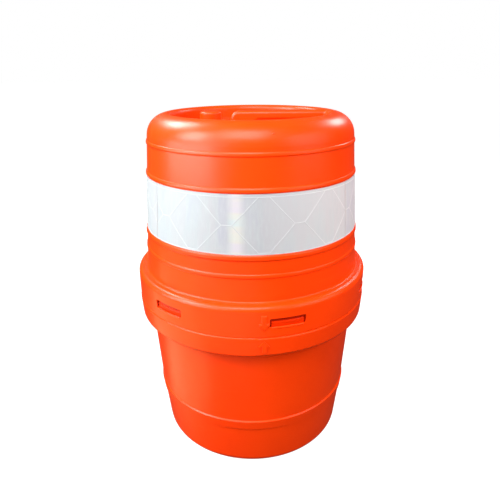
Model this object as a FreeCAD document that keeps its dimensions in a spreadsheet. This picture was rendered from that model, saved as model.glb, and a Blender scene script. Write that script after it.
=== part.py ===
import FreeCAD, Part
import math
import os

import Sketcher

# A two-part plastic traffic drum. The tapered lower tub holds the ballast. The upper shell stands on
# the tub's rim ring: its skirt slips over the tub's neck, and six snap lugs on the neck catch in six
# windows in the skirt. The top is a recess with a moulded carry handle and a screw filler cap.
# Frame: origin at the centre of the foot, +Z up, -Y is the front and +X the right. Sizes in mm.

SIZES = [
    ("wall", 3.5, "thickness of the moulded walls"),
    ("taper", 0.0754, "radius lost per mm of height on the upper shell"),
    # lower tub
    ("foot_radius", 226.8, "outer radius of the tub at the ground, before rounding"),
    ("foot_round", 19.5, "rounding of the bottom edge"),
    ("foot_land", 150, "inner radius of the ring that the tub stands on"),
    ("foot_recess", 8, "height of the raised centre of the bottom"),
    ("foot_ramp", 10, "width of the slope beside the raised centre"),
    ("ramp_shift", 1, "how far the slope inside the tub lies outside the one under it"),
    ("hoop_low", 110.6, "lower edge of the tub's hoop"),
    ("hoop_high", 137.0, "upper edge of the tub's hoop"),
    ("hoop_stand", 2.6, "how far the hoop stands out"),
    ("tub_mid_radius", 240.5, "outer radius of the tub at the hoop"),
    ("tub_top_radius", 252.4, "outer radius of the tub under its rim ring"),
    ("ring_low", 331.4, "underside of the rim ring"),
    ("ring_low_radius", 274.9, "outer radius of the rim ring at its underside"),
    ("ring_radius", 277.9, "outer radius of the rim ring at its top"),
    ("ring_round", 7, "rounding under the rim ring"),
    ("ring_root_round", 5, "rounding where the rim ring grows out of the tub"),
    ("ring_edge_round", 3, "rounding of the rim ring's top edge"),
    ("parting", 378.8, "height of the rim ring's top, where the upper shell stands"),
    ("neck_radius", 271.6, "outer radius of the tub's neck"),
    ("neck_top", 438, "height of the neck's lip"),
    ("neck_lip_round", 1.2, "rounding of the neck's lip"),
    # upper shell
    ("skirt_radius", 276.6, "outer radius of the skirt"),
    ("skirt_top", 447.9, "height of the step above the skirt"),
    ("skirt_round", 10.5, "rounding of the skirt's top edge"),
    ("skirt_edge_round", 1.6, "rounding of the skirt's bottom edge"),
    ("step_radius", 255.2, "outer radius of the body just above the skirt"),
    ("step_root_round", 4, "rounding where the body grows out of the step"),
    ("crest", 797.8, "height of the top rim"),
    ("shoulder_round", 47.5, "rounding of the shoulder"),
    ("lip_round", 9.5, "rounding of the rim into the recess"),
    ("recess_radius", 177, "radius of the recess at the rim"),
    ("recess_low_radius", 175, "radius of the recess at its floor"),
    ("recess_floor", 740, "height of the recess floor"),
    ("recess_round", 30, "rounding between the recess wall and floor"),
    ("bead_round", 3.6, "rounding of the beads' outer edges"),
    ("bead_slope", 1, "height of a bead's sloping side for each mm that it stands out"),
    ("bead_a_low", 498.3, "lowest bead, lower edge"),
    ("bead_a_high", 508.0, "lowest bead, upper edge"),
    ("bead_a_stand", 1.7, "lowest bead, how far it stands out"),
    ("bead_b_low", 535.0, "bead under the sheeting, lower edge"),
    ("bead_b_high", 547.9, "bead under the sheeting, upper edge"),
    ("bead_b_stand", 2.6, "bead under the sheeting, how far it stands out"),
    ("bead_c_low", 668.5, "bead over the sheeting, lower edge"),
    ("bead_c_high", 679.1, "bead over the sheeting, upper edge"),
    ("bead_c_stand", 2.4, "bead over the sheeting, how far it stands out"),
    ("bead_d_low", 735.7, "bead under the shoulder, lower edge"),
    ("bead_d_high", 745.1, "bead under the shoulder, upper edge"),
    ("bead_d_stand", 2.0, "bead under the shoulder, how far it stands out"),
    # snap windows and lugs
    ("window_width", 78, "width of a snap window"),
    ("window_low", 401.3, "lower edge of a snap window"),
    ("window_high", 421.6, "upper edge of a snap window"),
    ("window_round", 4, "corner rounding of a snap window"),
    ("window_turn", 15.4, "angle of the front window from the front, in degrees"),
    ("window_spread", 56, "angle between windows of one half, in degrees"),
    ("lug_width", 70, "width of a snap lug"),
    ("lug_low", 402.0, "flat catching face of a snap lug"),
    ("lug_high", 413.5, "top of a snap lug's ramp"),
    ("lug_stand", 2.2, "how far a snap lug stands out of the neck"),
    ("lug_ramp", 2.5, "height of a snap lug's ramp"),
    ("lug_tip", 0.9, "how far the top of a snap lug's ramp stands out of the neck"),
    # alignment arrows
    ("arrow_turn", 5, "angle of the alignment arrows from the front, in degrees"),
    ("arrow_width", 24, "width of an arrow's head"),
    ("arrow_shaft", 9, "width of an arrow's shaft"),
    ("arrow_head", 14, "length of an arrow's head"),
    ("down_arrow_face", 277.5, "distance of the upper arrow's face from the drum's axis"),
    ("up_arrow_face", 278.3, "distance of the lower arrow's face from the drum's axis"),
    ("down_arrow_low", 396, "tip of the upper arrow"),
    ("down_arrow_high", 428, "tail of the upper arrow"),
    ("up_arrow_low", 343.5, "tail of the lower arrow"),
    ("up_arrow_high", 372, "tip of the lower arrow"),
    # reflective sheeting
    ("sheet_low", 548.2, "lower edge of the reflective sheeting"),
    ("sheet_high", 668.2, "upper edge of the reflective sheeting"),
    ("sheet_thickness", 0.6, "thickness of the sheeting with its adhesive"),
    ("seam_turn", 54.5, "angle of the two front seams from the front, in degrees"),
    ("seam_gap", 0.3, "gap at each seam, in degrees"),
    # carry handle
    ("handle_left", -47, "left face of the handle's post"),
    ("post_width", 56.5, "width of the post"),
    ("handle_middle", 51, "how far behind the drum's axis the handle runs"),
    ("handle_depth", 35, "front to back size of the handle"),
    ("handle_top", 795, "top of the handle"),
    ("handle_right", 190, "right end of the bar, inside the rim"),
    ("bar_height", 20.5, "height of the bar's section"),
    ("handle_outer_round", 22, "outer corner over the post"),
    ("handle_inner_round", 14, "inner corner under the bar"),
    ("handle_edge_round", 7.5, "rounding along the handle's edges"),
    ("handle_root_round", 6, "rounding where the handle grows out of the recess"),
    ("post_root", 15, "how far the post runs under the recess floor before it is trimmed"),
    ("block_depth", 20, "depth of the trimming block under the recess floor"),
    ("block_width", 30, "width of the trimming block outside the recess"),
    # filler
    ("filler_across", -92, "filler axis, to the right of the drum's axis"),
    ("filler_back", 35, "filler axis, behind the drum's axis"),
    ("filler_bore", 15.5, "radius of the filler's bore"),
    ("filler_thread", 20, "radius over the filler's thread"),
    ("boss_radius", 24, "radius of the boss under the thread"),
    ("boss_top", 759, "top of the boss"),
    ("boss_round", 1.5, "rounding of the boss's top edge"),
    ("filler_top", 784, "lip of the filler neck"),
    ("gasket_thickness", 2.5, "thickness of the cap gasket"),
    ("gasket_gap", 0.1, "play around the cap gasket"),
    ("gasket_inset", 0.5, "how much wider the gasket's hole is than the filler's bore, in radius"),
    ("cap_radius", 25, "outer radius of the filler cap"),
    ("cap_low", 761, "lower edge of the filler cap"),
    ("cap_top", 795, "top of the filler cap"),
    ("cap_round", 5, "rounding of the cap's top edge"),
    ("cap_hem_round", 1.2, "rounding of the cap's lower edge"),
    ("cap_play", 0.06, "radial play between the threads"),
    # cutting tools
    ("cut_past", 1, "how far a cutting tool runs past the face that it cuts"),
]

BEADS = ["bead_a", "bead_b", "bead_c", "bead_d"]

ON_AXIS = 1e-9  # a smaller distance than this counts as zero
SAME_PLACE = 0.01  # edges this near to the place asked for are the ones meant
TOUCHING = 0.001  # a point this near to a surface lies on it

doc = FreeCAD.newDocument("traffic_barrel_drum")
sheet = doc.addObject("Spreadsheet::Sheet", "Sizes")
for row, (alias, size, meaning) in enumerate(SIZES, start=1):
    sheet.set("A%d" % row, meaning)
    sheet.set("B%d" % row, str(size))
    sheet.setAlias("B%d" % row, alias)
doc.recompute()


def measure(owner, expression):
    """The value in mm, or degrees, of an expression over the sheet."""
    value = owner.evalExpression(expression)
    return getattr(value, "Value", value)


# ---- sketches ----


def origin_plane(body, role):
    for feature in body.Origin.OriginFeatures:
        if feature.Role == role:
            return feature
    raise RuntimeError("no plane " + role)


def sketch_on(body, name, role, turn=None):
    """A sketch on an origin plane. turn is an expression: the angle of the plane about +Z."""
    sketch = body.newObject("Sketcher::SketchObject", name)
    sketch.AttachmentSupport = (origin_plane(body, role), [""])
    sketch.MapMode = "FlatFace"
    if turn:
        angle = measure(body, turn)
        sketch.AttachmentOffset = FreeCAD.Placement(
            FreeCAD.Vector(0, 0, 0), FreeCAD.Rotation(FreeCAD.Vector(0, 1, 0), angle))
        sketch.setExpression("AttachmentOffset.Rotation.Angle", turn)
    return sketch


def drive(sketch, constraint, expression):
    """Add a dimension to a sketch and bind it to the sheet."""
    index = sketch.addConstraint(constraint)
    sketch.setExpression("Constraints[%d]" % index, expression)


def place_point(sketch, edge, end, across, up):
    """Hold one end of a sketch edge at a place given by two expressions."""
    for kind, axis, expression in (("DistanceX", -2, across), ("DistanceY", -1, up)):
        value = measure(sketch, expression)
        if abs(value) < ON_AXIS:
            sketch.addConstraint(Sketcher.Constraint("PointOnObject", edge, end, axis))
        else:
            drive(sketch, Sketcher.Constraint(kind, -1, 1, edge, end, value), expression)


def outline(sketch, corners):
    """A closed outline of straight lines through corners, each (across, up) as expressions."""
    points = [FreeCAD.Vector(measure(sketch, a), measure(sketch, u), 0) for a, u in corners]
    first = sketch.GeometryCount
    for start, end in zip(points, points[1:] + points[:1]):
        sketch.addGeometry(Part.LineSegment(start, end), False)
    for number, (across, up) in enumerate(corners):
        edge = first + number
        following = first + (number + 1) % len(corners)
        sketch.addConstraint(Sketcher.Constraint("Coincident", edge, 2, following, 1))
        place_point(sketch, edge, 1, across, up)


def rounded_slot(sketch, half_width, low, high, radius):
    """A rectangle about the upright axis, with four equal rounded corners."""
    half = measure(sketch, half_width)
    bottom = measure(sketch, low)
    top = measure(sketch, high)
    round_size = measure(sketch, radius)
    inner = half - round_size
    corners = [(inner, bottom + round_size, -90), (inner, top - round_size, 0),
               (-inner, top - round_size, 90), (-inner, bottom + round_size, 180)]
    arcs = []
    for across, up, start in corners:
        circle = Part.Circle(FreeCAD.Vector(across, up, 0), FreeCAD.Vector(0, 0, 1), round_size)
        arc = Part.ArcOfCircle(circle, math.radians(start), math.radians(start + 90))
        arcs.append(sketch.addGeometry(arc, False))
    sides = []
    for number, arc in enumerate(arcs):
        following = arcs[(number + 1) % 4]
        start = sketch.getPoint(arc, 2)
        end = sketch.getPoint(following, 1)
        side = sketch.addGeometry(Part.LineSegment(start, end), False)
        sides.append(side)
        sketch.addConstraint(Sketcher.Constraint("Tangent", arc, 2, side, 1))
        sketch.addConstraint(Sketcher.Constraint("Tangent", side, 2, following, 1))
    right, upper, left, lower = sides
    for side in (right, left):
        sketch.addConstraint(Sketcher.Constraint("Vertical", side))
    for side in (upper, lower):
        sketch.addConstraint(Sketcher.Constraint("Horizontal", side))
    for arc in arcs[1:]:
        sketch.addConstraint(Sketcher.Constraint("Equal", arcs[0], arc))
    drive(sketch, Sketcher.Constraint("Radius", arcs[0], round_size), radius)
    drive(sketch, Sketcher.Constraint("DistanceX", -1, 1, right, 1, half), half_width)
    drive(sketch, Sketcher.Constraint("DistanceX", left, 1, -1, 1, half), half_width)
    drive(sketch, Sketcher.Constraint("DistanceY", -1, 1, upper, 1, top), high)
    drive(sketch, Sketcher.Constraint("DistanceY", -1, 1, lower, 1, bottom), low)


# ---- features ----


def spin(body, name, sketch, kind="PartDesign::Revolution", angle="360"):
    """Turn a sketch about the drum's axis."""
    feature = body.newObject(kind, name)
    feature.Profile = sketch
    feature.ReferenceAxis = (sketch, ["V_Axis"])
    feature.Angle = measure(body, angle)
    feature.setExpression("Angle", angle)
    sketch.Visibility = False
    doc.recompute()
    return feature


def hollow(body, name, space):
    """Cut one body's shape out of another, and check that it removed material."""
    before = body.Shape.Volume
    feature = body.newObject("PartDesign::Boolean", name)
    feature.Type = "Cut"
    feature.setObjects([space])
    doc.recompute()
    if feature.Shape.Volume >= before:
        raise RuntimeError(name + " cut nothing")
    return feature


def extrude(body, name, sketch, length, kind="PartDesign::Pad", reverse=False, both=False):
    feature = body.newObject(kind, name)
    feature.Profile = sketch
    feature.Length = measure(body, length)
    feature.setExpression("Length", length)
    feature.Midplane = both
    feature.Reversed = reverse
    sketch.Visibility = False
    doc.recompute()
    return feature


def round_off(body, name, edges, radius):
    """Round the named edges of the body's present shape."""
    base = body.Tip
    feature = body.newObject("PartDesign::Fillet", name)
    feature.Base = (base, edges)
    feature.Radius = measure(body, radius)
    feature.setExpression("Radius", radius)
    doc.recompute()
    return feature


def ring_edges(body, rings):
    """Names of the circular edges about the drum's axis at each (radius, height) in rings."""
    wanted = [(measure(body, r), measure(body, z)) for r, z in rings]
    names = []
    for number, edge in enumerate(body.Shape.Edges, start=1):
        if not isinstance(edge.Curve, Part.Circle):
            continue
        centre = edge.Curve.Center
        for radius, height in wanted:
            if abs(edge.Curve.Radius - radius) < SAME_PLACE and abs(centre.z - height) < SAME_PLACE:
                names.append("Edge%d" % number)
    if len(names) < len(rings):
        raise RuntimeError("%s: found %d of %d ring edges" % (body.Name, len(names), len(rings)))
    return names


def new_body(label):
    body = doc.addObject("PartDesign::Body", label)
    body.Label = label
    return body


def shell_radius(height):
    """The upper shell's outer radius at a height, as an expression."""
    return "Sizes.step_radius - Sizes.taper * (%s - Sizes.skirt_top)" % height


def window_turns():
    """The six windows' angles from the front: three on each half of the mould."""
    turns = []
    for half in (0, 180):
        for step in (-1, 0, 1):
            turns.append("Sizes.window_turn + %d * Sizes.window_spread + %d" % (step, half))
    return turns


def arrow(sketch, tail, tip, head):
    """A block arrow standing upright. head is the height where its head begins."""
    half_shaft = "0.5 * Sizes.arrow_shaft"
    half_head = "0.5 * Sizes.arrow_width"
    right_side = [(half_shaft, tail), (half_shaft, head), (half_head, head)]
    left_side = [("-" + across, up) for across, up in reversed(right_side)]
    outline(sketch, right_side + [("0", tip)] + left_side)


# ---- lower tub ----


def tub_radius(height):
    """The tub's outer radius below the hoop's upper edge, as an expression."""
    slope = "(Sizes.tub_mid_radius - Sizes.foot_radius) / Sizes.hoop_high"
    return "Sizes.foot_radius + %s * %s" % (slope, height)


def make_lower_tub():
    body = new_body("lower_tub")
    form = sketch_on(body, "TubForm", "XZ_Plane")
    outline(form, [
        ("0", "Sizes.foot_recess"),
        ("Sizes.foot_land - Sizes.foot_ramp", "Sizes.foot_recess"),
        ("Sizes.foot_land", "0"),
        ("Sizes.foot_radius", "0"),
        (tub_radius("Sizes.hoop_low"), "Sizes.hoop_low"),
        (tub_radius("Sizes.hoop_low") + " + Sizes.hoop_stand", "Sizes.hoop_low + Sizes.hoop_stand"),
        ("Sizes.tub_mid_radius + Sizes.hoop_stand", "Sizes.hoop_high - Sizes.hoop_stand"),
        ("Sizes.tub_mid_radius", "Sizes.hoop_high"),
        ("Sizes.tub_top_radius", "Sizes.ring_low"),
        ("Sizes.ring_low_radius", "Sizes.ring_low"),
        ("Sizes.ring_radius", "Sizes.parting"),
        ("Sizes.neck_radius", "Sizes.parting"),
        ("Sizes.neck_radius", "Sizes.neck_top"),
        ("0", "Sizes.neck_top"),
    ])
    spin(body, "TubBlank", form)
    round_off(body, "FootRound", ring_edges(body, [("Sizes.foot_radius", "0")]), "Sizes.foot_round")
    round_off(body, "RingRound", ring_edges(body, [("Sizes.ring_low_radius", "Sizes.ring_low")]),
              "Sizes.ring_round")
    round_off(body, "RingRoot", ring_edges(body, [("Sizes.tub_top_radius", "Sizes.ring_low")]),
              "Sizes.ring_root_round")
    round_off(body, "RingEdge", ring_edges(body, [("Sizes.ring_radius", "Sizes.parting")]),
              "Sizes.ring_edge_round")
    mark = sketch_on(body, "UpArrow", "XZ_Plane", "Sizes.arrow_turn")
    arrow(mark, "Sizes.up_arrow_low", "Sizes.up_arrow_high", "Sizes.up_arrow_high - Sizes.arrow_head")
    extrude(body, "UpArrowPad", mark, "Sizes.up_arrow_face")

    space = new_body("tub_space")
    neck_inside = "Sizes.neck_radius - Sizes.wall"
    outside = sketch_on(space, "TubSpaceForm", "XZ_Plane")
    outline(outside, [
        ("0", "Sizes.foot_recess + Sizes.wall"),
        ("Sizes.foot_land - Sizes.foot_ramp + Sizes.ramp_shift", "Sizes.foot_recess + Sizes.wall"),
        ("Sizes.foot_land + Sizes.ramp_shift", "Sizes.wall"),
        ("Sizes.foot_radius - Sizes.wall", "Sizes.wall"),
        ("Sizes.tub_mid_radius - Sizes.wall", "Sizes.hoop_high"),
        ("Sizes.tub_top_radius - Sizes.wall", "Sizes.ring_low + Sizes.wall"),
        (neck_inside, "Sizes.ring_low + Sizes.wall"),
        (neck_inside, "Sizes.neck_top + Sizes.cut_past"),
        ("0", "Sizes.neck_top + Sizes.cut_past"),
    ])
    spin(space, "TubSpaceSpin", outside)
    round_off(space, "FootInside", ring_edges(space, [("Sizes.foot_radius - Sizes.wall", "Sizes.wall")]),
              "Sizes.foot_round - Sizes.wall")
    hollow(body, "TubHollow", space)
    round_off(body, "NeckLip", ring_edges(body, [("Sizes.neck_radius", "Sizes.neck_top"),
                                                (neck_inside, "Sizes.neck_top")]),
              "Sizes.neck_lip_round")
    return body


def make_snap_lug(number, turn):
    """A ramped lug on the neck, as wide as its window. Its flat lower face catches the skirt."""
    body = new_body("snap_lug_%d" % number)
    form = sketch_on(body, "LugForm%d" % number, "XZ_Plane")
    outline(form, [
        ("Sizes.neck_radius", "Sizes.lug_low"),
        ("Sizes.neck_radius + Sizes.lug_stand", "Sizes.lug_low"),
        ("Sizes.neck_radius + Sizes.lug_stand", "Sizes.lug_high - Sizes.lug_ramp"),
        ("Sizes.neck_radius + Sizes.lug_tip", "Sizes.lug_high"),
        ("Sizes.neck_radius", "Sizes.lug_high"),
    ])
    width = "Sizes.lug_width / (Sizes.neck_radius + Sizes.lug_stand) * 180 / pi"
    feature = spin(body, "LugSpin%d" % number, form, angle=width)
    feature.Midplane = True
    # the spin is centred on +X, and a lug's angle is counted from -Y
    facing = "%s - 90" % turn
    body.Placement = FreeCAD.Placement(
        FreeCAD.Vector(0, 0, 0), FreeCAD.Rotation(FreeCAD.Vector(0, 0, 1), measure(body, facing)))
    body.setExpression("Placement.Rotation.Angle", facing)
    doc.recompute()
    return body


# ---- upper shell ----


def make_upper_shell():
    body = new_body("upper_shell")
    form = sketch_on(body, "ShellForm", "XZ_Plane")
    corners = [
        ("0", "Sizes.parting"),
        ("Sizes.skirt_radius", "Sizes.parting"),
        ("Sizes.skirt_radius", "Sizes.skirt_top"),
        (shell_radius("Sizes.skirt_top"), "Sizes.skirt_top"),
    ]
    for bead in BEADS:
        low = "Sizes.%s_low" % bead
        high = "Sizes.%s_high" % bead
        stand = "Sizes.%s_stand" % bead
        corners.append((shell_radius(low), low))
        corners.append((shell_radius(low) + " + " + stand, low + " + Sizes.bead_slope * " + stand))
        corners.append((shell_radius(high) + " + " + stand, high + " - Sizes.bead_slope * " + stand))
        corners.append((shell_radius(high), high))
    corners += [
        (shell_radius("Sizes.crest"), "Sizes.crest"),
        ("Sizes.recess_radius", "Sizes.crest"),
        ("Sizes.recess_low_radius", "Sizes.recess_floor"),
        ("0", "Sizes.recess_floor"),
    ]
    outline(form, corners)
    spin(body, "ShellBlank", form)
    round_off(body, "Shoulder", ring_edges(body, [(shell_radius("Sizes.crest"), "Sizes.crest")]),
              "Sizes.shoulder_round")
    round_off(body, "Lip", ring_edges(body, [("Sizes.recess_radius", "Sizes.crest")]), "Sizes.lip_round")
    round_off(body, "RecessCorner", ring_edges(body, [("Sizes.recess_low_radius", "Sizes.recess_floor")]),
              "Sizes.recess_round")
    round_off(body, "SkirtRound", ring_edges(body, [("Sizes.skirt_radius", "Sizes.skirt_top")]),
              "Sizes.skirt_round")
    round_off(body, "StepRoot", ring_edges(body, [("Sizes.step_radius", "Sizes.skirt_top")]),
              "Sizes.step_root_round")
    bead_edges = []
    for bead in BEADS:
        for end, sign in (("low", "+"), ("high", "-")):
            height = "Sizes.%s_%s" % (bead, end)
            stand = "Sizes.%s_stand" % bead
            bead_edges.append((shell_radius(height) + " + " + stand,
                               "%s %s Sizes.bead_slope * %s" % (height, sign, stand)))
    round_off(body, "BeadRound", ring_edges(body, bead_edges), "Sizes.bead_round")
    round_off(body, "SkirtEdge", ring_edges(body, [("Sizes.skirt_radius", "Sizes.parting")]),
              "Sizes.skirt_edge_round")
    mark = sketch_on(body, "DownArrow", "XZ_Plane", "Sizes.arrow_turn")
    arrow(mark, "Sizes.down_arrow_high", "Sizes.down_arrow_low",
          "Sizes.down_arrow_low + Sizes.arrow_head")
    extrude(body, "DownArrowPad", mark, "Sizes.down_arrow_face")

    space = new_body("shell_space")
    outside = sketch_on(space, "ShellSpaceForm", "XZ_Plane")
    inner_top = "Sizes.crest - Sizes.wall"
    inner_shoulder = shell_radius("Sizes.crest") + " - Sizes.wall"
    inner_lip = "Sizes.recess_radius + Sizes.wall"
    inner_floor = "Sizes.recess_low_radius + Sizes.wall"
    under_floor = "Sizes.recess_floor - Sizes.wall"
    under_step = "Sizes.skirt_top - Sizes.wall"
    outline(outside, [
        ("0", "Sizes.parting - Sizes.cut_past"),
        ("Sizes.skirt_radius - Sizes.wall", "Sizes.parting - Sizes.cut_past"),
        ("Sizes.skirt_radius - Sizes.wall", under_step),
        ("Sizes.step_radius - Sizes.wall", under_step),
        (inner_shoulder, inner_top),
        (inner_lip, inner_top),
        (inner_floor, under_floor),
        ("0", under_floor),
    ])
    spin(space, "ShellSpaceSpin", outside)
    round_off(space, "ShoulderInside", ring_edges(space, [(inner_shoulder, inner_top)]),
              "Sizes.shoulder_round - Sizes.wall")
    round_off(space, "LipInside", ring_edges(space, [(inner_lip, inner_top)]),
              "Sizes.lip_round - Sizes.wall")
    round_off(space, "RecessInside", ring_edges(space, [(inner_floor, under_floor)]),
              "Sizes.recess_round + Sizes.wall")
    round_off(space, "SkirtInside", ring_edges(space, [("Sizes.skirt_radius - Sizes.wall", under_step)]),
              "Sizes.skirt_round - Sizes.wall")
    hollow(body, "ShellHollow", space)
    return body


def cut_windows(body):
    for number, turn in enumerate(window_turns(), start=1):
        before = body.Shape.Volume
        slot = sketch_on(body, "Window%d" % number, "XZ_Plane", turn)
        rounded_slot(slot, "0.5 * Sizes.window_width", "Sizes.window_low", "Sizes.window_high",
                     "Sizes.window_round")
        extrude(body, "WindowCut%d" % number, slot, "Sizes.skirt_radius + Sizes.cut_past",
                "PartDesign::Pocket", reverse=True)
        if body.Shape.Volume >= before:
            raise RuntimeError("window %d cut nothing" % number)


def cut_filler_hole(body):
    before = body.Shape.Volume
    hole = sketch_on(body, "FillerHole", "XY_Plane")
    ring(hole, "Sizes.filler_thread")
    extrude(body, "FillerHoleCut", hole, "Sizes.crest", "PartDesign::Pocket", reverse=True)
    if body.Shape.Volume >= before:
        raise RuntimeError("the filler hole cut nothing")


def ring(sketch, radius):
    """A circle about the filler's axis."""
    across = "Sizes.filler_across"
    back = "Sizes.filler_back"
    centre = FreeCAD.Vector(measure(sketch, across), measure(sketch, back), 0)
    size = measure(sketch, radius)
    edge = sketch.addGeometry(Part.Circle(centre, FreeCAD.Vector(0, 0, 1), size), False)
    drive(sketch, Sketcher.Constraint("DistanceX", -1, 1, edge, 3, centre.x), across)
    drive(sketch, Sketcher.Constraint("DistanceY", -1, 1, edge, 3, centre.y), back)
    drive(sketch, Sketcher.Constraint("Radius", edge, size), radius)


# ---- carry handle ----


def make_recess_block():
    """A solid block round the recess, with the recess's own wall, floor and rounded rim."""
    block = new_body("recess_block")
    form = sketch_on(block, "BlockForm", "XZ_Plane")
    outline(form, [
        ("0", "Sizes.recess_floor - Sizes.block_depth"),
        ("Sizes.recess_radius + Sizes.block_width", "Sizes.recess_floor - Sizes.block_depth"),
        ("Sizes.recess_radius + Sizes.block_width", "Sizes.crest"),
        ("Sizes.recess_radius", "Sizes.crest"),
        ("Sizes.recess_low_radius", "Sizes.recess_floor"),
        ("0", "Sizes.recess_floor"),
    ])
    spin(block, "BlockSpin", form)
    round_off(block, "BlockLip", ring_edges(block, [("Sizes.recess_radius", "Sizes.crest")]),
              "Sizes.lip_round")
    round_off(block, "BlockCorner",
              ring_edges(block, [("Sizes.recess_low_radius", "Sizes.recess_floor")]), "Sizes.recess_round")
    return block


def corner_edge(body, across, up):
    """Name of the front-to-back edge of a padded profile at a corner of the profile."""
    x = measure(body, across)
    z = measure(body, up)
    for number, edge in enumerate(body.Shape.Edges, start=1):
        ends = [vertex.Point for vertex in edge.Vertexes]
        if len(ends) == 2 and all(math.hypot(p.x - x, p.z - z) < SAME_PLACE for p in ends):
            return "Edge%d" % number
    raise RuntimeError("no edge at the corner")


def side_edges(body, sides):
    """Names of the edges that lie wholly in one of the planes Y = sides."""
    names = []
    for number, edge in enumerate(body.Shape.Edges, start=1):
        box = edge.BoundBox
        if any(abs(box.YMin - side) < SAME_PLACE > abs(box.YMax - side) for side in sides):
            names.append("Edge%d" % number)
    return names


def make_handle_bar():
    """The post and the bar as one rounded arm. Its ends run into the recess block."""
    bar = new_body("handle_bar")
    form = sketch_on(bar, "BarForm", "XZ_Plane")
    form.AttachmentOffset = FreeCAD.Placement(
        FreeCAD.Vector(0, 0, -measure(bar, "Sizes.handle_middle")), FreeCAD.Rotation())
    form.setExpression("AttachmentOffset.Base.z", "-Sizes.handle_middle")
    left = "Sizes.handle_left"
    inside = "Sizes.handle_left + Sizes.post_width"
    under = "Sizes.handle_top - Sizes.bar_height"
    root = "Sizes.recess_floor - Sizes.post_root"
    outline(form, [
        (left, root),
        (inside, root),
        (inside, under),
        ("Sizes.handle_right", under),
        ("Sizes.handle_right", "Sizes.handle_top"),
        (left, "Sizes.handle_top"),
    ])
    extrude(bar, "BarPad", form, "Sizes.handle_depth", both=True)
    round_off(bar, "OuterCorner", [corner_edge(bar, left, "Sizes.handle_top")], "Sizes.handle_outer_round")
    round_off(bar, "InnerCorner", [corner_edge(bar, inside, under)], "Sizes.handle_inner_round")
    middle = measure(bar, "Sizes.handle_middle")
    half = measure(bar, "0.5 * Sizes.handle_depth")
    round_off(bar, "BarEdges", side_edges(bar, [middle - half, middle + half]),
              "Sizes.handle_edge_round")
    return bar


def meeting_edges(joined, one, other):
    """Numbers of the edges where two fused solids meet: edges that lie on both their surfaces."""
    numbers = []
    for number, edge in enumerate(joined.Edges, start=1):
        middle = edge.valueAt(0.5 * (edge.FirstParameter + edge.LastParameter))
        point = Part.Vertex(middle)
        on_one = one.Shells[0].distToShape(point)[0] < TOUCHING
        on_other = other.Shells[0].distToShape(point)[0] < TOUCHING
        if on_one and on_other:
            numbers.append(number)
    return numbers


def make_carry_handle():
    """The handle with its flared roots, which end exactly on the recess's surfaces.

    The roots are rounded on the bar and the block fused together, and then the block is taken away.
    """
    block = make_recess_block().Shape
    bar = make_handle_bar().Shape
    joined = block.fuse(bar)
    roots = [joined.Edges[number - 1] for number in meeting_edges(joined, block, bar)]
    flared = joined.makeFillet(sheet.get("handle_root_round"), roots)
    handle = doc.addObject("Part::Feature", "carry_handle")
    handle.Label = "carry_handle"
    handle.Shape = flared.cut(block)
    handle.Placement = FreeCAD.Placement()
    return handle


# ---- filler ----


def spin_filler_part(label, corners):
    """A piece turned about the filler's axis, from an outline of (radius, height) corners."""
    body = new_body(label)
    form = sketch_on(body, label + "_form", "XZ_Plane")
    outline(form, corners)
    spin(body, label + "_spin", form)
    return body


def move_to_filler(body):
    body.Placement = FreeCAD.Placement(
        FreeCAD.Vector(measure(body, "Sizes.filler_across"), measure(body, "Sizes.filler_back"), 0),
        FreeCAD.Rotation())
    body.setExpression("Placement.Base.x", "Sizes.filler_across")
    body.setExpression("Placement.Base.y", "Sizes.filler_back")
    doc.recompute()


def make_filler_neck():
    body = spin_filler_part("filler_neck", [
        ("Sizes.filler_bore", "Sizes.recess_floor - Sizes.wall"),
        ("Sizes.filler_thread", "Sizes.recess_floor - Sizes.wall"),
        ("Sizes.filler_thread", "Sizes.recess_floor"),
        ("Sizes.boss_radius", "Sizes.recess_floor"),
        ("Sizes.boss_radius", "Sizes.boss_top"),
        ("Sizes.filler_thread", "Sizes.boss_top"),
        ("Sizes.filler_thread", "Sizes.filler_top"),
        ("Sizes.filler_bore", "Sizes.filler_top"),
    ])
    round_off(body, "BossRound", ring_edges(body, [("Sizes.boss_radius", "Sizes.boss_top")]),
              "Sizes.boss_round")
    move_to_filler(body)
    return body


def make_cap_gasket():
    body = spin_filler_part("cap_gasket", [
        ("Sizes.filler_bore + Sizes.gasket_inset", "Sizes.filler_top"),
        ("Sizes.filler_thread - Sizes.gasket_gap", "Sizes.filler_top"),
        ("Sizes.filler_thread - Sizes.gasket_gap", "Sizes.filler_top + Sizes.gasket_thickness"),
        ("Sizes.filler_bore + Sizes.gasket_inset", "Sizes.filler_top + Sizes.gasket_thickness"),
    ])
    move_to_filler(body)
    return body


def make_filler_cap():
    seat = "Sizes.filler_top + Sizes.gasket_thickness"
    inside = "Sizes.filler_thread + Sizes.cap_play"
    body = spin_filler_part("filler_cap", [
        ("0", seat),
        (inside, seat),
        (inside, "Sizes.cap_low"),
        ("Sizes.cap_radius", "Sizes.cap_low"),
        ("Sizes.cap_radius", "Sizes.cap_top"),
        ("0", "Sizes.cap_top"),
    ])
    round_off(body, "CapRound", ring_edges(body, [("Sizes.cap_radius", "Sizes.cap_top")]),
              "Sizes.cap_round")
    round_off(body, "CapHem", ring_edges(body, [("Sizes.cap_radius", "Sizes.cap_low")]),
              "Sizes.cap_hem_round")
    move_to_filler(body)
    return body


# ---- reflective sheeting ----


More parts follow.
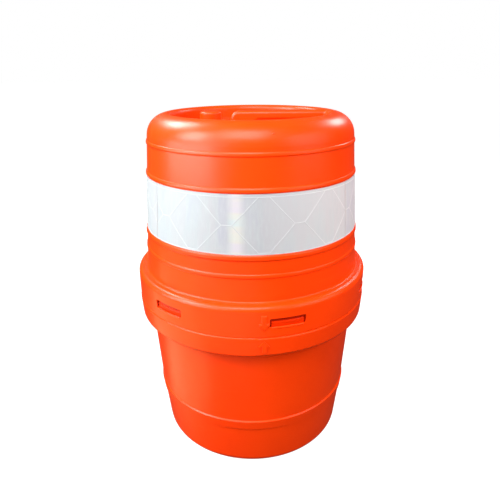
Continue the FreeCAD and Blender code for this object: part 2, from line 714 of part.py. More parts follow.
def make_sheeting(label, start, end):
    """One strip of sheeting on the shell between two angles from the front, with a gap at each end."""
    body = new_body(label)
    form = sketch_on(body, label + "_form", "XZ_Plane")
    low = "Sizes.sheet_low"
    high = "Sizes.sheet_high"
    outline(form, [
        (shell_radius(low), low),
        (shell_radius(low) + " + Sizes.sheet_thickness", low),
        (shell_radius(high) + " + Sizes.sheet_thickness", high),
        (shell_radius(high), high),
    ])
    spin(body, label + "_spin", form, angle="%s - (%s) - Sizes.seam_gap" % (end, start))
    facing = "%s - 90 + 0.5 * Sizes.seam_gap" % start
    body.Placement = FreeCAD.Placement(
        FreeCAD.Vector(0, 0, 0), FreeCAD.Rotation(FreeCAD.Vector(0, 0, 1), measure(body, facing)))
    body.setExpression("Placement.Rotation.Angle", facing)
    doc.recompute()
    return body


parts = []
tub = make_lower_tub()
parts.append(tub)
for lug_number, lug_turn in enumerate(window_turns(), start=1):
    parts.append(make_snap_lug(lug_number, lug_turn))
shell = make_upper_shell()
cut_windows(shell)
cut_filler_hole(shell)
parts.append(shell)
parts.append(make_sheeting("reflective_sheet_front", "-Sizes.seam_turn", "Sizes.seam_turn"))
parts.append(make_sheeting("reflective_sheet_right", "Sizes.seam_turn", "180"))
parts.append(make_sheeting("reflective_sheet_left", "180", "360 - Sizes.seam_turn"))
parts.append(make_carry_handle())
parts.append(make_filler_neck())
parts.append(make_cap_gasket())
parts.append(make_filler_cap())

doc.recompute()
for item in doc.Objects:
    if "Invalid" in item.State or "Error" in item.State:
        raise RuntimeError("%s failed: %s" % (item.Name, item.State))
for part in parts:
    if part.Shape.isNull() or not part.Shape.isValid():
        raise RuntimeError(part.Label + " has no valid shape")
os.makedirs("parts", exist_ok=True)
for part in parts:
    part.Shape.exportStep("parts/%s.step" % part.Label)
    box = part.Shape.BoundBox
    print("%-24s %8.1f cm3  z %6.1f to %6.1f" % (part.Label, part.Shape.Volume / 1000, box.ZMin, box.ZMax))
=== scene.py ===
import math

import bpy
from mathutils import Euler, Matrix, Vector
from mathutils.bvhtree import BVHTree


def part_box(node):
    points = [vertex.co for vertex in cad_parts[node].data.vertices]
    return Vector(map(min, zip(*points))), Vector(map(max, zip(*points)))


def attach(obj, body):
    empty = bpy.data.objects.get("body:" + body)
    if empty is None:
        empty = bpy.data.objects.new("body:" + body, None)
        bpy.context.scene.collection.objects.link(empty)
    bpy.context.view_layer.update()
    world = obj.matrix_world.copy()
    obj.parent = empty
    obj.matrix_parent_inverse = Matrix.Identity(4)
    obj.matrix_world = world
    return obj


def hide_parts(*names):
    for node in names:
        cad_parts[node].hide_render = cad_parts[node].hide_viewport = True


# Looks of the traffic drum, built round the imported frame. Metres; -Y is the front, +X the right.

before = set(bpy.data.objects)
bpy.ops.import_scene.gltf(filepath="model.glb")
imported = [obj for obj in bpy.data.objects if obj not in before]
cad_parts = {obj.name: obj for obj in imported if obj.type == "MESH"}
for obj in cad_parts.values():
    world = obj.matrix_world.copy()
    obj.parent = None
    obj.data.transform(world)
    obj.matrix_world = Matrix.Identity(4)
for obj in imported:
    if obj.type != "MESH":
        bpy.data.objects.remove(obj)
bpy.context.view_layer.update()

# ---- camera ----

CAMERA_BACK = 1.0887
CAMERA_UP = 0.8912
CAMERA_ACROSS = -0.0033
CAMERA_PITCH = 21.5
CAMERA_ROLL = 0.51
CAMERA_LENS = 33.57


# ---- materials ----

# Painted shade: darker colours for the tub's neck and the snap lugs, which sit in shade inside the skirt
# and its windows.
NECK_PAINTED_SHADE = (0.40, 0.007, 0.0002)
LUG_PAINTED_SHADE = (0.68, 0.021, 0.0003)

# Tint of the film by angle round the drum, as (degrees from the front, colour): its own grey, with a
# painted reflection that is darkest at the front and lightest on the right.
FILM_TINTS_AND_PAINTED_REFLECTION = [
    (-180.0, (0.46, 0.46, 0.48)),
    (-75.0, (0.38, 0.41, 0.42)),
    (-30.0, (0.34, 0.365, 0.38)),
    (-12.0, (0.335, 0.34, 0.35)),
    (4.0, (0.35, 0.353, 0.367)),
    (15.0, (0.42, 0.418, 0.428)),
    (30.0, (0.51, 0.496, 0.50)),
    (50.0, (0.61, 0.565, 0.565)),
    (66.0, (0.64, 0.56, 0.57)),
    (120.0, (0.60, 0.56, 0.58)),
    (180.0, (0.46, 0.46, 0.48)),
]
FILM_BANDS = [
    (0.30, (0.88, 0.90, 0.98)),
    (0.42, (0.95, 0.95, 1.00)),
    (0.50, (0.98, 1.00, 1.00)),
    (0.58, (1.00, 0.97, 0.98)),
    (0.70, (1.00, 1.00, 1.00)),
]
FILM_GLINTS = [
    (0.34, (0.40, 0.47, 0.48)),
    (0.46, (0.46, 0.47, 0.42)),
    (0.55, (0.48, 0.455, 0.40)),
    (0.66, (0.46, 0.42, 0.46)),
]
FILM_PALE = (0.44, 0.46, 0.47)
# Angle of the painted glint streak on the film.
GLINT_STREAK_TURN = -7.0
SEAL_LIFT = 1.16
SEAL_GRAIN = 0.04
PARTING_SHADE = 0.3792  # height over which the tub's plastic is covered by the skirt


class Shader:
    """A material's node tree, with short ways to add nodes and join them."""

    def __init__(self, name):
        self.material = bpy.data.materials.new(name)
        self.material.use_nodes = True
        self.tree = self.material.node_tree
        self.surface = self.tree.nodes["Principled BSDF"]
        self.place = self.tree.nodes.new("ShaderNodeTexCoord").outputs["Object"]

    def node(self, kind, **settings):
        made = self.tree.nodes.new(kind)
        for name, value in settings.items():
            setattr(made, name, value)
        return made

    def join(self, output, socket):
        self.tree.links.new(output, socket)

    def scaled(self, x, y, z):
        """The place, stretched by a factor along each axis."""
        mapping = self.node("ShaderNodeMapping")
        mapping.inputs["Scale"].default_value = (x, y, z)
        self.join(self.place, mapping.inputs["Vector"])
        return mapping.outputs["Vector"]

    def noise(self, vector, scale, detail=3.0, roughness=0.5):
        made = self.node("ShaderNodeTexNoise")
        made.inputs["Scale"].default_value = scale
        made.inputs["Detail"].default_value = detail
        made.inputs["Roughness"].default_value = roughness
        self.join(vector, made.inputs["Vector"])
        return made.outputs["Fac"]

    def spread(self, value, low, high, to_low=0.0, to_high=1.0):
        """Map a range of a value onto another range, clamped."""
        made = self.node("ShaderNodeMapRange")
        made.inputs["From Min"].default_value = low
        made.inputs["From Max"].default_value = high
        made.inputs["To Min"].default_value = to_low
        made.inputs["To Max"].default_value = to_high
        self.join(value, made.inputs["Value"])
        return made.outputs["Result"]

    def math(self, operation, a, b=None):
        made = self.node("ShaderNodeMath", operation=operation)
        for socket, value in zip(made.inputs, (a, b)):
            if value is None:
                continue
            if isinstance(value, (int, float)):
                socket.default_value = value
            else:
                self.join(value, socket)
        return made.outputs["Value"]

    def blend(self, amount, one, other, mode="MIX"):
        """Mix two colours, each a tuple or an output."""
        made = self.node("ShaderNodeMix", data_type="RGBA", blend_type=mode)
        if isinstance(amount, float):
            made.inputs[0].default_value = amount
        else:
            self.join(amount, made.inputs[0])
        for socket, value in ((made.inputs[6], one), (made.inputs[7], other)):
            if isinstance(value, tuple):
                socket.default_value = (*value, 1.0)
            else:
                self.join(value, socket)
        return made.outputs[2]

    def bump(self, height, strength, distance, under=None):
        made = self.node("ShaderNodeBump")
        made.inputs["Strength"].default_value = strength
        made.inputs["Distance"].default_value = distance
        self.join(height, made.inputs["Height"])
        if under is not None:
            self.join(under, made.inputs["Normal"])
        return made.outputs["Normal"]

    def set(self, **values):
        for name, value in values.items():
            self.surface.inputs[name.replace("_", " ")].default_value = value


def turned(s):
    """Angle round the drum in degrees from the front, towards the right, and the height."""
    parts = s.node("ShaderNodeSeparateXYZ")
    s.join(s.place, parts.inputs["Vector"])
    angle = s.math("ARCTAN2", parts.outputs["X"], s.math("MULTIPLY", parts.outputs["Y"], -1.0))
    return s.math("MULTIPLY", angle, 180.0 / math.pi), parts.outputs["Z"]


def ramp(s, value, stops):
    """A smooth run of colours over 0 to 1."""
    made = s.node("ShaderNodeValToRGB")
    elements = made.color_ramp.elements
    elements[0].position, elements[-1].position = stops[0][0], stops[-1][0]
    elements[0].color, elements[-1].color = (*stops[0][1], 1.0), (*stops[-1][1], 1.0)
    for position, colour in stops[1:-1]:
        elements.new(position).color = (*colour, 1.0)
    s.join(value, made.inputs["Fac"])
    return made.outputs["Color"]


def orange_plastic(name, seed, covered=None, shade_colour=None, gloss=0.30):
    """Moulded orange polyethylene: mottled colour, faint streaks and an orange-peel skin.

    Above the height covered, the colour is mixed most of the way to the darker colour given: painted
    shade, for plastic that sits in shade inside the shell's skirt or its windows.
    """
    s = Shader(name)
    shifted = s.node("ShaderNodeMapping")
    shifted.inputs["Location"].default_value = (seed, seed * 0.7, 0.0)
    s.join(s.place, shifted.inputs["Vector"])
    place = shifted.outputs["Vector"]
    cloud = s.spread(s.noise(place, 5.0, 4.0), 0.35, 0.65)
    colour = s.blend(cloud, (0.86, 0.040, 0.0006), (0.94, 0.048, 0.0010))
    speck = s.spread(s.noise(place, 420.0, 2.0, 0.7), 0.30, 0.72, 0.0, 0.16)
    colour = s.blend(speck, colour, (0.78, 0.030, 0.0005))
    streak = s.noise(s.scaled(9.0, 9.0, 160.0), 1.0, 3.0, 0.65)
    streak = s.spread(streak, 0.62, 0.80, 0.0, 0.30)
    colour = s.blend(streak, colour, (0.98, 0.085, 0.006))
    # Painted shade: above the height covered, mix most of the way to the darker colour.
    if covered is not None:
        _, height = turned(s)
        shade_mix = s.spread(height, covered, covered + 0.0015, 0.0, 0.9)
        colour = s.blend(shade_mix, colour, shade_colour)
    s.join(colour, s.surface.inputs["Base Color"])
    rough = s.spread(s.noise(place, 38.0, 4.0, 0.6), 0.3, 0.7, 0.285, 0.35)
    s.join(rough, s.surface.inputs["Roughness"])
    peel = s.noise(place, 330.0, 3.0, 0.55)
    wave = s.noise(place, 16.0, 2.0)
    normal = s.bump(wave, 0.10, 0.004)
    normal = s.bump(peel, 0.16, 0.0006, normal)
    s.join(normal, s.surface.inputs["Normal"])
    s.set(IOR=1.5, Specular_IOR_Level=gloss)
    return s.material


def tint_with_painted_reflection(s, turn):
    """The film's tint at an angle round the drum, with its painted reflection."""
    tints = [((degrees + 180.0) / 360.0, tint) for degrees, tint in FILM_TINTS_AND_PAINTED_REFLECTION]
    return ramp(s, s.spread(turn, -180.0, 180.0), tints)


def film():
    """Prismatic reflective film: silvery, with soft upright bands of pale colour, a painted reflection
    round the drum, a painted glint streak and tiny facets.
    """
    s = Shader("prismatic_film")
    turn, height = turned(s)
    strip = s.node("ShaderNodeCombineXYZ")
    s.join(s.math("MULTIPLY", turn, 0.0175), strip.inputs["X"])
    s.join(s.math("MULTIPLY", height, 0.8), strip.inputs["Z"])
    band = s.noise(strip.outputs["Vector"], 5.2, 4.0, 0.62)
    # Painted reflection: the film's colour is its tint round the drum, times random pale bands.
    colour = s.blend(1.0, tint_with_painted_reflection(s, turn), ramp(s, band, FILM_BANDS), "MULTIPLY")
    # Painted glints: an upright streak at a fixed angle near the front, mixed to lighter pastel colours.
    streak = s.spread(s.math("ABSOLUTE", s.math("ADD", turn, -GLINT_STREAK_TURN)), 1.0, 4.5, 0.80, 0.0)
    drift = s.noise(s.scaled(6.0, 6.0, 34.0), 1.0, 2.0)
    colour = s.blend(streak, colour, ramp(s, drift, FILM_GLINTS))
    fine = s.spread(s.noise(strip.outputs["Vector"], 46.0, 3.0, 0.6), 0.45, 0.75, 0.0, 0.22)
    colour = s.blend(fine, colour, FILM_PALE)
    s.join(colour, s.surface.inputs["Base Color"])
    cells = s.node("ShaderNodeTexVoronoi")
    cells.inputs["Scale"].default_value = 900.0
    s.join(s.place, cells.inputs["Vector"])
    s.join(s.bump(cells.outputs["Distance"], 0.10, 0.0003), s.surface.inputs["Normal"])
    s.set(Metallic=0.04, Roughness=0.45, Specular_IOR_Level=0.15)
    return s.material


def seal_white():
    """The pale lines where the film is sealed to its backing."""
    s = Shader("film_seal_white")
    turn, _ = turned(s)
    grain = s.spread(s.noise(s.place, 260.0, 3.0), 0.3, 0.7)
    low = (SEAL_LIFT - SEAL_GRAIN,) * 3
    high = (SEAL_LIFT + SEAL_GRAIN,) * 3
    # The seal lines take the film's tint with its painted reflection, made paler.
    colour = s.blend(1.0, tint_with_painted_reflection(s, turn), s.blend(grain, low, high), "MULTIPLY")
    s.join(colour, s.surface.inputs["Base Color"])
    s.join(s.bump(grain, 0.15, 0.0002), s.surface.inputs["Normal"])
    s.set(Roughness=0.45, Specular_IOR_Level=0.15)
    return s.material


def rubber():
    s = Shader("gasket_rubber")
    grain = s.spread(s.noise(s.place, 700.0, 3.0), 0.3, 0.7)
    s.join(s.blend(grain, (0.012, 0.012, 0.013), (0.03, 0.03, 0.031)), s.surface.inputs["Base Color"])
    s.join(s.bump(grain, 0.2, 0.0002), s.surface.inputs["Normal"])
    s.set(Roughness=0.6)
    return s.material


def paint(piece, material):
    piece.data.materials.clear()
    piece.data.materials.append(material)


def stage_white():
    """A plain white light table for the floor."""
    s = Shader("studio_white")
    mottle = s.spread(s.noise(s.place, 3.0, 2.0), 0.3, 0.7)
    s.join(s.blend(mottle, (0.22, 0.22, 0.22), (0.24, 0.24, 0.24)), s.surface.inputs["Base Color"])
    s.set(Roughness=0.9, Specular_IOR_Level=0.0)
    s.set(Emission_Color=(1.0, 1.0, 1.0, 1.0), Emission_Strength=1.0)
    return s.material


orange = orange_plastic("moulded_orange", 0.0)
# The tub's neck above the parting gets painted shade.
tub_orange_painted_neck_shade = orange_plastic("tub_orange_painted_neck_shade", 0.0, covered=PARTING_SHADE, shade_colour=NECK_PAINTED_SHADE)
# The snap lugs are painted darker all over: painted shade inside the windows.
lug_orange_painted_shade = orange_plastic("lug_orange_painted_shade", 1.7, covered=0.0, shade_colour=LUG_PAINTED_SHADE, gloss=0.08)
cap_orange = orange_plastic("cap_orange", 3.1)
film_material = film()
gasket_material = rubber()
for name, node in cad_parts.items():
    if name.startswith("reflective_sheet"):
        paint(node, film_material)
    elif name == "cap_gasket":
        paint(node, gasket_material)
    elif name == "filler_cap":
        paint(node, cap_orange)
    elif name == "lower_tub":
        paint(node, tub_orange_painted_neck_shade)
    elif name.startswith("snap_lug"):
        paint(node, lug_orange_painted_shade)
    else:
        paint(node, orange)


# ---- places on the drum ----

MM = 0.001


def around(turn, radius, height):
    """A point at an angle in degrees from the front, towards the right."""
    angle = math.radians(turn)
    return Vector((radius * math.sin(angle), -radius * math.cos(angle), height))


def skin_of(name):
    """A search tree over a CAD node's faces, in the row frame."""
    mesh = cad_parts[name].data
    return BVHTree.FromPolygons(
        [vertex.co.copy() for vertex in mesh.vertices], [tuple(face.vertices) for face in mesh.polygons])


def film_reach(name):
    """Outer radius of a sheet of film at its lower and at its upper edge."""
    low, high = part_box(name)
    reach = {"low": 0.0, "high": 0.0}
    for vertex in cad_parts[name].data.vertices:
        radius = math.hypot(vertex.co.x, vertex.co.y)
        if abs(vertex.co.z - low.z) < 0.01 * MM:
            reach["low"] = max(reach["low"], radius)
        if abs(vertex.co.z - high.z) < 0.01 * MM:
            reach["high"] = max(reach["high"], radius)
    return low.z, high.z, reach["low"], reach["high"]


def piece_of(name, corners, faces, material, body):
    """A new mesh piece that rides on a body, painted with the given material."""
    mesh = bpy.data.meshes.new(name)
    mesh.from_pydata(corners, [], faces)
    mesh.update()
    for face in mesh.polygons:
        face.use_smooth = True
    piece = bpy.data.objects.new(name, mesh)
    bpy.context.scene.collection.objects.link(piece)
    paint(piece, material)
    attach(piece, body)
    return piece


def add_strip(corners, faces, rows):
    """Join rows of points, each as long as the next, into faces."""
    first = len(corners)
    width = len(rows[0])
    for row in rows:
        corners.extend(row)
    for step in range(len(rows) - 1):
        for side in range(width - 1):
            one = first + step * width + side
            faces.append((one, one + 1, one + width + 1, one + width))


# ---- sealed lines of the film ----

SEAL_WIDTH = 2.0 * MM
SEAL_STAND = 0.14 * MM
SEAL_SUNK = 0.20 * MM
CELL_TURN = 34.4
CELL_START = 5.65
CELL_FLAT = 2.6
CELL_STEP_LOW = 4.0 * MM
CELL_STEP_HIGH = 6.2 * MM
BORDER_HIGH = 6.0 * MM
BORDER_LOW = 1.6 * MM
CELL_DROP = 1.0 * MM
SEAM_MARGIN = 0.5
SEAM_TURN = 54.5


def seal_lines(low, high, start, end):
    """Lines of the film's long six-sided cells, as pairs of (angle, height), and its two borders."""
    bottom = low + CELL_STEP_LOW
    top = high - CELL_STEP_HIGH
    middle = 0.5 * (low + high) - CELL_DROP
    lines = [((start, low + BORDER_LOW), (end, low + BORDER_LOW)),
             ((start, high - BORDER_HIGH), (end, high - BORDER_HIGH))]
    first = math.floor((start - CELL_START) / CELL_TURN) - 1
    last = math.ceil((end - CELL_START) / CELL_TURN) + 1
    half = 0.5 * CELL_TURN
    for number in range(first, last + 1):
        centre = CELL_START + number * CELL_TURN
        lines.append(((centre + half - CELL_FLAT, middle), (centre + half + CELL_FLAT, middle)))
        for level in (bottom, top):
            lines.append(((centre - CELL_FLAT, level), (centre + CELL_FLAT, level)))
            lines.append(((centre + CELL_FLAT, level), (centre + half - CELL_FLAT, middle)))
            lines.append(((centre - CELL_FLAT, level), (centre - half + CELL_FLAT, middle)))
    return lines


def clipped(line, start, end):
    """The part of a line between two angles, or None."""
    (turn_a, height_a), (turn_b, height_b) = line
    if turn_a > turn_b:
        (turn_a, height_a), (turn_b, height_b) = (turn_b, height_b), (turn_a, height_a)
    if turn_b <= start or turn_a >= end:
        return None
    slope = (height_b - height_a) / (turn_b - turn_a)
    left, right = max(turn_a, start), min(turn_b, end)
    return (left, height_a + slope * (left - turn_a)), (right, height_a + slope * (right - turn_a))


def film_seals(name, sheet, start, end, material):
    """Thin raised lines on one sheet of film, one mesh."""
    low, high, reach_low, reach_high = film_reach(sheet)
    corners, faces = [], []
    for number, line in enumerate(seal_lines(low, high, start, end)):
        kept = clipped(line, start + SEAM_MARGIN, end - SEAM_MARGIN)
        if kept is None:
            continue
        (turn_a, height_a), (turn_b, height_b) = kept
        steps = max(2, math.ceil((turn_b - turn_a) / 1.2))
        along = Vector((math.radians(turn_b - turn_a) * reach_low, height_b - height_a)).normalized()
        across = Vector((-along.y, along.x))
        stand = SEAL_STAND + 0.01 * MM * (number % 5)
        rows = []
        for step in range(steps + 1):
            part = step / steps
            turn = turn_a + part * (turn_b - turn_a)
            height = height_a + part * (height_b - height_a)
            row = []
            for offset, lift in ((-0.5, -SEAL_SUNK), (-0.38, stand), (0.38, stand), (0.5, -SEAL_SUNK)):
                up = min(max(height + offset * SEAL_WIDTH * across.y, low), high)
                reach = reach_low + (reach_high - reach_low) * (up - low) / (high - low)
                turn_here = turn + math.degrees(offset * SEAL_WIDTH * across.x / reach)
                row.append(around(turn_here, reach + lift, up))
            rows.append(row)
        add_strip(corners, faces, rows)
    return piece_of(name, corners, faces, material, "upper")


# ---- mould seams ----

MOULD_TURN = 105.4
MOULD_WIDTH = 1.0 * MM
MOULD_STAND = 0.28 * MM
MOULD_STEP = 1.5 * MM
OUTSIDE = 0.40


def mould_seam(name, node, spans, turn, body):
    """A fine upright ridge where the halves of the mould met, over spans of height."""
    skin = skin_of(node)
    corners, faces = [], []
    for low, high in spans:
        steps = math.ceil((high - low) / MOULD_STEP)
        rows = []
        for step in range(steps + 1):
            height = low + (high - low) * step / steps
            start = around(turn, OUTSIDE, height)
            inward = Vector((-start.x, -start.y, 0.0)).normalized()
            place, normal, _, _ = skin.ray_cast(start, inward, OUTSIDE)
            if place is None:
                continue
            across = inward.cross(Vector((0.0, 0.0, 1.0)))
            row = []
            for offset, lift in ((-0.5, -0.5), (-0.2, 1.0), (0.2, 1.0), (0.5, -0.5)):
                row.append(place + across * offset * MOULD_WIDTH + normal * lift * MOULD_STAND)
            rows.append(row)
        add_strip(corners, faces, rows)
    return piece_of(name, corners, faces, orange, body)


# ---- rolled sills of the snap windows ----

WINDOW_TURNS = (15.4, 71.4, 139.4, 195.4, 251.4, 319.4)
WINDOW_HALF = 37.0 * MM
SILL_CORE = (275.0 * MM, 400.4 * MM)
SILL_REACH = 277.3 * MM
SILL_STEPS = 40
# Section of a sill, as (distance from the axis, height).
SILL_SECTION = [
    (274.1 * MM, 401.1 * MM),
    (274.3 * MM, 402.0 * MM),
    (275.0 * MM, 402.6 * MM),
    (275.9 * MM, 402.5 * MM),
    (276.8 * MM, 401.9 * MM),
    (SILL_REACH, 400.8 * MM),
    (SILL_REACH, 399.6 * MM),
    (277.0 * MM, 398.7 * MM),
    (276.3 * MM, 398.2 * MM),
]


def window_sills(name):
    """The rolled lower edge of each window, thinning out at its ends."""
    corners, faces = [], []
    half = math.degrees(WINDOW_HALF / SILL_REACH)
    core = Vector(SILL_CORE)
    for turn in WINDOW_TURNS:
        rows = []
        for step in range(SILL_STEPS + 1):
            part = 2.0 * step / SILL_STEPS - 1.0
            full = math.sqrt(min(1.0, (1.0 - abs(part)) * 9.0 + 0.02))
            row = []
            for reach, height in SILL_SECTION:
                place = core.lerp(Vector((reach, height)), full)
                row.append(around(turn + part * half, place.x, place.y))
            rows.append(row)
        add_strip(corners, faces, rows)
    return piece_of(name, corners, faces, orange, "upper")


# ---- the shell's alignment arrow ----

ARROW_TURN = 5.0
ARROW_TIP = 396.0 * MM
ARROW_TAIL = 428.0 * MM
ARROW_HEAD = 14.0 * MM
ARROW_HALF = 12.0 * MM
ARROW_SHAFT = 4.5 * MM
ARROW_FOOT = 1.8 * MM
ARROW_TOP = 0.4 * MM
ARROW_WING = 10.8 * MM
ARROW_WING_TOP = 9.4 * MM
ARROW_FACE = 277.95 * MM
ARROW_SUNK = 0.05 * MM
SKIRT_REACH = 276.6 * MM


def arrow_edge(grow, wing):
    """Outline of the arrow as (across, height) points, moved outwards by grow.

    The head's corners are cut off upright at wing, short of the window beside the arrow.
    """
    slant = math.hypot(ARROW_HALF, ARROW_HEAD)
    base = ARROW_TIP + ARROW_HEAD + grow
    wide = ARROW_HALF + grow * (ARROW_HALF + slant) / ARROW_HEAD
    tip = ARROW_TIP - grow * slant / ARROW_HALF
    shaft = ARROW_SHAFT + grow
    tail = ARROW_TAIL + grow
    half = [(wing, tip + (base - tip) * wing / wide), (wing, base), (shaft, base), (shaft, tail)]
    mirror = [(-across, height) for across, height in reversed(half)]
    return [(0.0, tip)] + half + [(0.0, tail)] + mirror


def alignment_arrow(name):
    """A raised arrow with sloping sides, over the shell's own arrow."""
    corners, faces = [], []
    for across, height in arrow_edge(ARROW_FOOT, ARROW_WING):
        turn = ARROW_TURN + math.degrees(across / SKIRT_REACH)
        corners.append(around(turn, SKIRT_REACH - ARROW_SUNK, height))
    for across, height in arrow_edge(-ARROW_TOP, ARROW_WING_TOP):
        turn = ARROW_TURN + math.degrees(math.atan(across / ARROW_FACE))
        corners.append(around(turn, math.hypot(ARROW_FACE, across), height))
    count = len(corners) // 2
    for step in range(count):
        after = (step + 1) % count
        faces.append((step, after, count + after, count + step))
    faces.append(tuple(count + corner for corner in (0, 1, 2, 3, 7, 8, 9)))
    faces.append(tuple(count + corner for corner in (3, 4, 5, 6, 7)))
    piece = piece_of(name, corners, faces, orange, "upper")
    for face in piece.data.polygons:
        face.use_smooth = False
    return piece


# ---- small turned pieces ----


def spun_piece(name, profile, place, axis, material, body, columns=48):
    """A closed piece turned about an axis, from (radius, height) points that start and end on it."""
    corners, faces = [], []
    upright = axis.to_track_quat("Z", "Y").to_matrix()
    rows = []
    for column in range(columns + 1):
        angle = 2.0 * math.pi * column / columns
        rows.append([place + upright @ Vector((reach * math.cos(angle), reach * math.sin(angle), height))
                     for reach, height in profile])
    add_strip(corners, faces, rows)
    return piece_of(name, corners, faces, material, body)


# ---- threaded filler neck ----

THREAD_PITCH = 6.0 * MM
THREAD_ROOT = 18.7 * MM
THREAD_CREST = 20.0 * MM
THREAD_LOW = 761.5 * MM
THREAD_HIGH = 782.0 * MM
NECK_BORE = 15.5 * MM
BOSS_REACH = 24.0 * MM
BOSS_TOP = 759.0 * MM
BOSS_ROUND = 1.5 * MM
THREAD_FADE = 1.5 * MM
THREAD_FILLET = 0.8 * MM
LIP_BEVEL = 0.6 * MM
BORE_BEVEL = 0.5 * MM
THREAD_STEPS = 76
THREAD_COLUMNS = 120


def thread_reach(angle, height):
    """Radius of the screw thread at an angle and height."""
    turn = ((height - THREAD_LOW) / THREAD_PITCH - angle / (2.0 * math.pi)) % 1.0
    wave = 0.5 - 0.5 * math.cos(2.0 * math.pi * turn)
    tooth = min(max(1.9 * wave - 0.45, 0.0), 1.0)
    ends = min(height - THREAD_LOW, THREAD_HIGH - height) / THREAD_FADE
    return THREAD_ROOT + (THREAD_CREST - THREAD_ROOT) * tooth * min(max(ends, 0.0), 1.0)


def filler_thread(name):
    """The filler neck with its screw thread, in place of the plain one."""
    low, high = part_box("filler_neck")
    centre = 0.5 * (low + high)
    rows = [(BOSS_REACH, low.z), (BOSS_REACH, BOSS_TOP - BOSS_ROUND)]
    for step in range(1, 5):
        angle = math.radians(22.5 * step)
        rows.append((BOSS_REACH - BOSS_ROUND * (1.0 - math.cos(angle)),
                     BOSS_TOP - BOSS_ROUND * (1.0 - math.sin(angle))))
    rows.append((THREAD_ROOT + THREAD_FILLET, BOSS_TOP))
    rows.append((THREAD_ROOT, BOSS_TOP + THREAD_FILLET))
    for step in range(THREAD_STEPS + 1):
        rows.append((None, THREAD_LOW + (THREAD_HIGH - THREAD_LOW) * step / THREAD_STEPS))
    rows.append((THREAD_ROOT, high.z - LIP_BEVEL))
    rows.append((THREAD_ROOT - LIP_BEVEL, high.z))
    rows.append((NECK_BORE + BORE_BEVEL, high.z))
    rows.append((NECK_BORE, high.z - BORE_BEVEL))
    rows.append((NECK_BORE, low.z))
    rows.append((BOSS_REACH, low.z))
    lines = []
    for column in range(THREAD_COLUMNS + 1):
        angle = 2.0 * math.pi * column / THREAD_COLUMNS
        line = []
        for reach, height in rows:
            reach = thread_reach(angle, height) if reach is None else reach
            across = centre.x + reach * math.cos(angle)
            back = centre.y + reach * math.sin(angle)
            line.append(Vector((across, back, height)))
        lines.append(line)
    corners, faces = [], []
    add_strip(corners, faces, lines)
    piece = piece_of(name, corners, faces, orange, "upper")
    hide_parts("filler_neck")
    return piece


# ---- the pieces ----

seal_material = seal_white()
film_seals("film_seals_front", "reflective_sheet_front", -SEAM_TURN, SEAM_TURN, seal_material)
film_seals("film_seals_right", "reflective_sheet_right", SEAM_TURN, 180.0, seal_material)
film_seals("film_seals_left", "reflective_sheet_left", 180.0, 360.0 - SEAM_TURN, seal_material)

shell_low, shell_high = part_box("upper_shell")
tub_low, tub_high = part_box("lower_tub")
film_low, film_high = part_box("reflective_sheet_front")
shell_spans = [
    (shell_low.z + 2.5 * MM, film_low.z - 0.8 * MM),
    (film_high.z + 0.8 * MM, shell_high.z - 1.5 * MM),
]
tub_spans = [(tub_low.z + 6.0 * MM, shell_low.z - 3.0 * MM)]
for side, mould_turn in (("right", MOULD_TURN), ("left", MOULD_TURN - 180.0)):
    mould_seam("mould_seam_shell_" + side, "upper_shell", shell_spans, mould_turn, "upper")
    mould_seam("mould_seam_tub_" + side, "lower_tub", tub_spans, mould_turn, "tub")

NUB_TURN = 10.6
NUB_RADIUS = 224.1 * MM
NUB_HEIGHT = 776.9 * MM
NUB_TILT = 34.0
tilt = math.radians(NUB_TILT)
nub_axis = around(NUB_TURN, math.cos(tilt), math.sin(tilt))
nub_profile = [(0.0, 1.0 * MM), (0.9 * MM, 0.95 * MM), (1.6 * MM, 0.7 * MM), (2.1 * MM, 0.2 * MM),
               (2.3 * MM, -0.6 * MM), (0.0, -0.9 * MM)]
spun_piece("mould_gate_nub", nub_profile, around(NUB_TURN, NUB_RADIUS, NUB_HEIGHT), nub_axis, orange,
           "upper")
filler_thread("filler_neck_threaded")
window_sills("window_sills")
alignment_arrow("alignment_arrow_down")


# ---- stage, lights and camera ----

FLOOR_REACH = 30.0

floor_mesh = bpy.data.meshes.new("floor")
floor_corners = [(across * FLOOR_REACH, back * FLOOR_REACH, 0)
                 for across, back in ((-1, -1), (1, -1), (1, 1), (-1, 1))]
floor_mesh.from_pydata(floor_corners, [], [(0, 1, 2, 3)])
floor = bpy.data.objects.new("floor", floor_mesh)
bpy.context.scene.collection.objects.link(floor)
floor_mesh.materials.append(stage_white())
floor.visible_diffuse = False
floor.visible_glossy = False
floor.visible_shadow = False


def studio_world(seen, light):
    """White behind the drum, and a dimmer even light on it."""
    world = bpy.data.worlds.new("studio")
    world.use_nodes = True
    tree = world.node_tree
    background = tree.nodes["Background"]
    background.inputs["Color"].default_value = (1.0, 1.0, 1.0, 1.0)
    path = tree.nodes.new("ShaderNodeLightPath")
    level = tree.nodes.new("ShaderNodeMapRange")
    level.inputs["To Min"].default_value = light
    level.inputs["To Max"].default_value = seen
    tree.links.new(path.outputs["Is Camera Ray"], level.inputs["Value"])
    tree.links.new(level.outputs["Result"], background.inputs["Strength"])
    bpy.context.scene.world = world


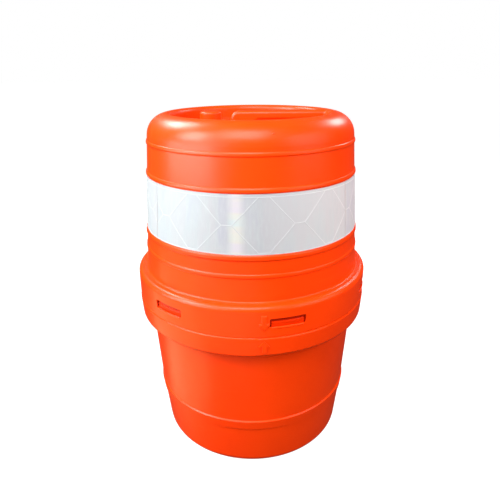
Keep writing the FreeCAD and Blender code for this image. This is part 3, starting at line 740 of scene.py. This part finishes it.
def softbox(name, place, size, power, target=(0.0, 0.0, 0.45), glossy=True, diffuse=True):
    light = bpy.data.lights.new(name, "AREA")
    light.shape = "RECTANGLE"
    light.size, light.size_y = size
    light.energy = power
    lamp = bpy.data.objects.new(name, light)
    lamp.location = place
    lamp.rotation_euler = (Vector(target) - Vector(place)).to_track_quat("-Z", "Y").to_euler()
    lamp.visible_camera = False
    lamp.visible_glossy = glossy
    lamp.visible_diffuse = diffuse
    bpy.context.scene.collection.objects.link(lamp)
    return lamp


studio_world(1.0, 0.05)
bpy.context.scene.view_settings.view_transform = "Standard"
softbox("key", (-0.15, -0.95, 1.95), (0.95, 0.95), 26.0, (0.0, 0.0, 0.65))
softbox("left_high", (-1.25, -0.60, 1.55), (0.7, 0.9), 32.0, (0.0, 0.0, 0.5))
softbox("left_front", (-1.35, -1.25, 1.25), (1.7, 1.3), 38.0, (0.0, 0.0, 0.45), glossy=False)
softbox("left_low", (-1.75, -0.85, 0.70), (1.9, 0.40), 22.0, (0.0, 0.0, 0.45), diffuse=False)
bounce = softbox("left_bounce", (-1.15, -0.25, -0.30), (1.3, 0.9), 6.5, (0.0, 0.0, 0.3), diffuse=False)
bounce.data.color = (1.0, 1.0, 0.52)
softbox("front_low", (-0.60, -1.50, -0.30), (1.8, 0.7), 5.5, (0.0, 0.0, 0.40), glossy=False)
softbox("back_left", (-0.90, 0.55, 1.70), (0.6, 0.5), 20.0, (-0.1, 0.0, 0.7))
softbox("back_right", (1.05, 0.90, 1.50), (0.5, 0.3), 7.0, (0.1, 0.0, 0.7))
softbox("right_fill", (1.6, -0.9, 1.3), (1.4, 1.4), 37.0, glossy=False)
softbox("rear", (0.2, 2.0, 1.0), (2.6, 1.2), 55.0, glossy=False)

camera_data = bpy.data.cameras.new("camera")
camera_data.lens = CAMERA_LENS
camera_data.sensor_width = 36.0
camera = bpy.data.objects.new("camera", camera_data)
camera.location = (CAMERA_ACROSS, -CAMERA_BACK, CAMERA_UP)
aim = Euler((math.radians(90.0 - CAMERA_PITCH), 0.0, 0.0)).to_matrix()
aim = aim @ Euler((0.0, 0.0, math.radians(-CAMERA_ROLL))).to_matrix()
camera.rotation_euler = aim.to_euler()
bpy.context.scene.collection.objects.link(camera)
bpy.context.scene.camera = camera
